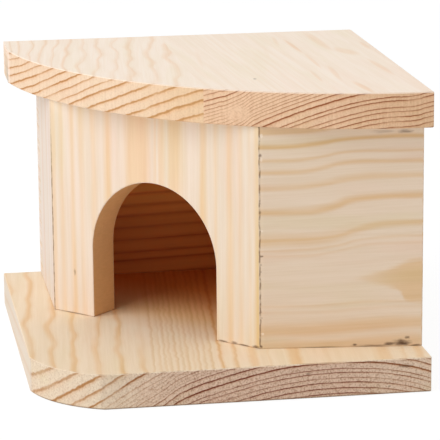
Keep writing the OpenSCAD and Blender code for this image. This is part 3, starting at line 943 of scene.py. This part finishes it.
class HAMSTERHOUSE_OT_panels(bpy.types.Operator):
    """Give the five upright panels their pine"""

    bl_idname = "hamsterhouse.panels"
    bl_label = "Finish the Panels"

    def execute(self, context):
        colours, sizes = context.scene.house_colours, context.scene.house_sizes
        panels = (
            ("door_panel", self.door_board(colours), {"keep_sharp": mitred_corner}),
            ("front_panel", self.front_board(colours), {"keep_sharp": mitred_corner}),
            ("left_wall", self.left_board(colours), {"keep_sharp": mitred_corner}),
            ("right_wall", self.right_board(colours), {}),
            ("back_wall", self.back_board(colours), {}),
        )
        for node, board, edges in panels:
            shade_board(node, board.finish(sizes.grain_depth), sizes.eased_edge, **edges)
        return {"FINISHED"}

    def door_board(self, colours):
        door = Board(
            "Door panel pine", pith=LEFT_CORNER + 0.057 * DOOR_RUN + 0.040 * DOOR_INWARD,
            turn=(0, 0, math.atan2(DOOR_RUN.y, DOOR_RUN.x)), seed=2.0,
            rings=ring_knots(DOOR_RINGS), waviness=0.6, ripple=0.15,
            tones=(colours.door_face, colours.door_band, colours.door_face, colours.door_band),
            fibre_direction=UP, thickness_direction=DOOR_INWARD, band_width=0.5, band_strength=0.3, fibre=1.2,
        )
        sheet = door.sheet
        run = door.along(DOOR_RUN, LEFT_CORNER)
        height = door.along(UP)
        door.draw(door.bands(sheet.plus(run, door.drift((7, 7, 45), 1.2)), DOOR_BANDS))
        length = (FRONT_CORNER - LEFT_CORNER).length / MM
        rim = sheet.step(run, length - 2.4, length - 0.6)
        door.stain(sheet.times(rim, sheet.step(height, 100.0, 25.0, 0.35, 0.9)), colours.door_rim)
        # Painted highlight on the arrises, the doorway's rim among them.
        door.stain(door.arris, colours.roof_face, 0.5)
        joint = door.line(run, 0.35, 0.45, 0.25, 0.4)
        door.stain(sheet.times(joint, sheet.step(height, 105.0, 70.0, 0.15, 0.75)), colours.joint)
        self.shade_doorway(door, height, colours)
        # Painted light under the eave, lifting the roof's shadow on the door panel.
        door.tint(sheet.step(height, 102.0, 110.0), DOOR_EAVE_LIGHT_TINT)
        # Painted shade on the inner face.
        door.tint(door.looks_along(DOOR_INWARD), colours.inside)
        door.tint(sheet.step(run, 70.0, 95.0), DOOR_RIGHT_TINT)
        door.marks(DOOR_RUN, LEFT_CORNER, colours.joint, DOOR_MARKS_AND_FOOT_SHADE, soft=0.8)
        return door

    def shade_doorway(self, door, height, colours):
        """The cut face all round the doorway: a saturated tan that partly stands for its shade, painted shade
        low down, and level marks of the saw.
        """
        sheet = door.sheet
        flat_share = sheet.math("ABSOLUTE", sheet.vector("DOT_PRODUCT", door.normal, DOOR_INWARD))
        cut = sheet.step(flat_share, 0.1, 0.4, 1.0, 0.0)
        rough = sheet.step(sheet.noise(door.place, (3.0, 3.0, 0.7), 2.0), 0.35, 0.65, 0.0, 0.6)
        door.stain(cut, colours.reveal)
        # Painted shade low down in the doorway.
        door.tint(sheet.times(cut, sheet.step(height, 62.0, 28.0)), DOORWAY_LOW_SHADE_TINT)
        door.tint(sheet.times(cut, rough), DOORWAY_ROUGH_TINT)

    def front_board(self, colours):
        front = Board(
            "Front panel pine", pith=FRONT_CORNER + 0.040 * FRONT_RUN + 0.029 * FRONT_INWARD + 0.045 * UP,
            turn=(0, math.radians(87.7), math.atan2(FRONT_RUN.y, FRONT_RUN.x)), seed=5.0,
            rings=ring_knots(FRONT_RINGS), waviness=1.0, ripple=0.2,
            tones=(colours.front_face, colours.front_band, colours.front_face, colours.front_band),
            fibre_direction=FRONT_RUN, thickness_direction=FRONT_INWARD,
            band_width=0.5, band_strength=0.0, fibre=1.2,
        )
        run = front.along(FRONT_RUN, FRONT_CORNER)
        height = front.along(UP)
        self.draw_front(front, run, height)
        front.tint(front.sheet.step(run, 1.4, 2.6, 1.0, 0.0), FRONT_WORN_TINT, 0.8)
        front.stain(front.line(run, 0.5, 0.45, 0.5, 0.75), colours.joint, 0.75)
        for colour, marks, look in (
            (colours.dark_mark, FRONT_CORNER_CHIPS, {"soft": 0.8}),
            (colours.roof_face, FRONT_CORNER_FRAYS, {}),
            (colours.dark_mark, FRONT_STAINS_AND_FOOT_SHADE, {"soft": 0.9, "ragged": 0.3}),
        ):
            front.marks(FRONT_RUN, FRONT_CORNER, colour, marks, **look)
        # Painted shade on the inner face.
        front.tint(front.looks_along(FRONT_INWARD), colours.inside)
        return front

    def draw_front(self, front, run, height):
        """The grain climbs to the right in one long wave, later along the run where it lies low."""
        sheet = front.sheet
        late_run = sheet.minus(run, sheet.step(height, 92.0, 68.0, 0.0, 7.0))
        climb = sheet.curve(late_run, FRONT_CLIMB, "AUTO_CLAMPED")
        level = sheet.minus(height, sheet.times(climb, sheet.curve(height, FRONT_REACH)))
        level = sheet.plus(level, front.drift((26, 26, 6), 0.9))
        fill = sheet.times(sheet.curve(level, FRONT_FILL), sheet.step(run, 28.0, 50.0, 1.0, 0.0))
        # Late wood lies open between two borders, which run apart towards the right edge.
        wander = sheet.plus(height, front.drift((9, 9, 1.2), 1.2))
        below = sheet.minus(sheet.curve(run, TONGUE_TOP, "AUTO_CLAMPED"), wander)
        above = sheet.minus(wander, sheet.curve(run, TONGUE_BOTTOM, "AUTO_CLAMPED"))
        tongue = sheet.times(sheet.step(below, 0.0, 3.0), sheet.step(above, 0.0, 3.0))
        tongue = sheet.times(tongue, sheet.step(run, 38.0, 64.0, 0.3, 0.8))
        front.draw(front.bands(level, FRONT_BANDS), fill, tongue)

    def left_board(self, colours):
        left = Board(
            "Left wall pine", pith=(-0.02, 0.05, 0.0), turn=(0, 0, 0), seed=9.0, rings=[(10, 0), (60, 12)],
            tones=(colours.wall_face, colours.wall_band, colours.wall_face, colours.wall_band),
            fibre_direction=UP, thickness_direction=RIGHT, ripple=0.15, fibre=0.8, band_strength=0.6,
        )
        # Painted shade on the inner face.
        left.tint(left.looks_along(RIGHT), colours.inside)
        return left

    def right_board(self, colours):
        right = Board(
            "Right wall pine", pith=(0.105, 0.0, 0.05), turn=(ALONG_Y, 0, math.radians(2)), seed=13.0,
            rings=[(10, 0), (80, 15)],
            tones=(colours.front_face, colours.front_band, colours.roof_end, colours.roof_end_ring),
            fibre_direction=BACK, thickness_direction=RIGHT, ripple=0.2, fibre=0.9,
        )
        # Painted shade on the inner face.
        right.tint(right.looks_along(LEFT), colours.inside)
        return right

    def back_board(self, colours):
        back = Board(
            "Back wall pine", pith=(0.0, 0.080, -0.060), turn=(0, math.radians(88), 0), seed=17.0,
            rings=ring_knots(BACK_RINGS), waviness=1.6, ripple=0.25,
            tones=(colours.front_face, colours.front_band, colours.wall_face, colours.wall_band),
            fibre_direction=RIGHT, thickness_direction=BACK, fibre=1.1, band_width=0.4,
        )
        sheet = back.sheet
        inner = back.looks_along(FRONT)
        height = back.along(UP)
        back.retone(inner, band=colours.roof_end_ring)
        back.set_grain(band_strength=sheet.between(inner, 0.7, 0.9))
        # Painted shade on the inner face, then painted light above and painted shade at the foot.
        back.tint(inner, colours.inside)
        back.tint(inner, BACK_TINT)
        for low, high, colour in BACK_LIGHT_AND_SHADE_TINTS:
            back.tint(sheet.times(inner, sheet.step(height, low, high)), colour)
        return back


class HAMSTERHOUSE_OT_dowels(bpy.types.Operator):
    """Give the hidden dowels their beech"""

    bl_idname = "hamsterhouse.dowels"
    bl_label = "Finish the Dowels"

    def execute(self, context):
        colours = context.scene.house_colours
        beech = Board(
            "Dowel beech", pith=ORIGIN, turn=(0, 0, 0), seed=21.0, rings=[(0, 0), (100, 60)],
            tones=(colours.beech, colours.roof_end_ring, colours.beech, colours.roof_end_ring),
            fibre_direction=UP, thickness_direction=RIGHT, band_strength=0.3, ring_strength=0.4,
        )
        material = beech.finish(context.scene.house_sizes.grain_depth)
        for node in ("base_dowels", "roof_dowels"):
            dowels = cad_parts[node]
            dowels.data.materials.clear()
            dowels.data.materials.append(material)
        return {"FINISHED"}


class HAMSTERHOUSE_OT_studio(bpy.types.Operator):
    """Set the floor, the lamps, the white surroundings and the camera"""

    bl_idname = "hamsterhouse.studio"
    bl_label = "Set the Studio"

    # The floor looks white to the camera but sends grey light back to the house.
    FLOOR_COLOUR = (0.9, 0.9, 0.9)
    FLOOR_GLOW = 1.08
    FLOOR_GLOW_SHARE = 0.82
    WHITE = (1, 1, 1)
    KEY_AIM = Vector((0, 0, 0.06))

    def execute(self, context):
        studio = context.scene.house_studio
        self.place_camera(context, studio)
        self.lay_floor(studio)
        self.hang_key(context, studio)
        self.light_world(context, studio)
        context.scene.view_settings.view_transform = "Standard"
        return {"FINISHED"}

    def place_camera(self, context, studio):
        yaw, pitch, roll = studio.camera_yaw, studio.camera_pitch, studio.camera_roll
        ahead = Vector((math.sin(yaw) * math.cos(pitch), math.cos(yaw) * math.cos(pitch), -math.sin(pitch)))
        right = Vector((math.cos(yaw), -math.sin(yaw), 0))
        down = ahead.cross(right)
        leaned_right = math.cos(roll) * right + math.sin(roll) * down
        leaned_down = -math.sin(roll) * right + math.cos(roll) * down
        camera = bpy.data.objects.new("Camera", bpy.data.cameras.new("Camera"))
        context.scene.collection.objects.link(camera)
        turn = Matrix((leaned_right, -leaned_down, -ahead)).transposed().to_4x4()
        camera.matrix_world = Matrix.Translation(studio.camera_place) @ turn
        camera.data.sensor_width = 36
        camera.data.lens = studio.lens_mm
        camera.data.clip_start = 0.01
        context.scene.camera = camera

    def lay_floor(self, studio):
        """A large floor, a little below the base so that the two faces don't lie in one plane."""
        bpy.ops.object.select_all(action="DESELECT")
        bpy.ops.mesh.primitive_plane_add(size=studio.floor_size, location=(0, 0, -FLOOR_GAP))
        floor = bpy.context.object
        floor.name = "Studio floor"
        material = bpy.data.materials.new("White floor")
        material.use_nodes = True
        material.node_tree.nodes.clear()
        sheet = NodeSheet(material.node_tree)
        matt = sheet.put("ShaderNodeBsdfDiffuse", {"Color": self.FLOOR_COLOUR})
        white = sheet.put("ShaderNodeEmission", {"Color": self.WHITE, "Strength": self.FLOOR_GLOW})
        to_camera = sheet.put("ShaderNodeLightPath").outputs["Is Camera Ray"]
        seen = sheet.times(to_camera, self.FLOOR_GLOW_SHARE)
        mixed = sheet.put("ShaderNodeMixShader", {0: seen, 1: matt.outputs[0], 2: white.outputs[0]})
        sheet.put("ShaderNodeOutputMaterial", {"Surface": mixed.outputs[0]})
        floor.data.materials.append(material)

    def hang_key(self, context, studio):
        azimuth, height = studio.key_azimuth, studio.key_height
        level = math.cos(height)
        towards = Vector((-math.sin(azimuth) * level, -math.cos(azimuth) * level, math.sin(height)))
        lamp = bpy.data.lights.new("Key light", "AREA")
        lamp.size = studio.key_size
        lamp.energy = studio.key_power
        key = bpy.data.objects.new("Key light", lamp)
        context.scene.collection.objects.link(key)
        turn = towards.to_track_quat("Z", "Y").to_matrix().to_4x4()
        key.matrix_world = Matrix.Translation(self.KEY_AIM + studio.key_distance * towards) @ turn

    def light_world(self, context, studio):
        world = bpy.data.worlds.new("White room")
        context.scene.world = world
        world.use_nodes = True
        world.node_tree.nodes.clear()
        sheet = NodeSheet(world.node_tree)
        path = sheet.put("ShaderNodeLightPath").outputs
        mirrored = sheet.math("MAXIMUM", path["Is Camera Ray"], path["Is Glossy Ray"])
        seen = sheet.math("MAXIMUM", mirrored, path["Is Transmission Ray"])
        strength = sheet.between(seen, studio.sky_strength, 1.0)
        room = sheet.put("ShaderNodeBackground", {"Color": self.WHITE, "Strength": strength})
        sheet.put("ShaderNodeOutputWorld", {"Surface": room.outputs[0]})


class HAMSTERHOUSE_PT_panel(bpy.types.Panel):
    """Buttons for the hamster house in the 3D view's sidebar"""

    bl_label = "Hamster House"
    bl_space_type = "VIEW_3D"
    bl_region_type = "UI"
    bl_category = "Hamster House"

    def draw(self, context):
        for step in STEPS:
            self.layout.operator(step.bl_idname)
        scene = context.scene
        for settings in (scene.house_colours, scene.house_sizes, scene.house_studio):
            box = self.layout.box()
            for name in settings.__annotations__:
                box.prop(settings, name)


STEPS = (
    HAMSTERHOUSE_OT_studio,
    HAMSTERHOUSE_OT_roof,
    HAMSTERHOUSE_OT_base,
    HAMSTERHOUSE_OT_panels,
    HAMSTERHOUSE_OT_dowels,
)
CLASSES = (PineColours, PineSizes, StudioSettings, *STEPS, HAMSTERHOUSE_PT_panel)


def register():
    for item in CLASSES:
        bpy.utils.register_class(item)
    bpy.types.Scene.house_colours = PointerProperty(type=PineColours)
    bpy.types.Scene.house_sizes = PointerProperty(type=PineSizes)
    bpy.types.Scene.house_studio = PointerProperty(type=StudioSettings)


def unregister():
    del bpy.types.Scene.house_colours, bpy.types.Scene.house_sizes, bpy.types.Scene.house_studio
    for item in reversed(CLASSES):
        bpy.utils.unregister_class(item)


def main():
    register()
    for step in STEPS:
        family, name = step.bl_idname.split(".")
        getattr(getattr(bpy.ops, family), name)()


if __name__ == "__main__":
    main()
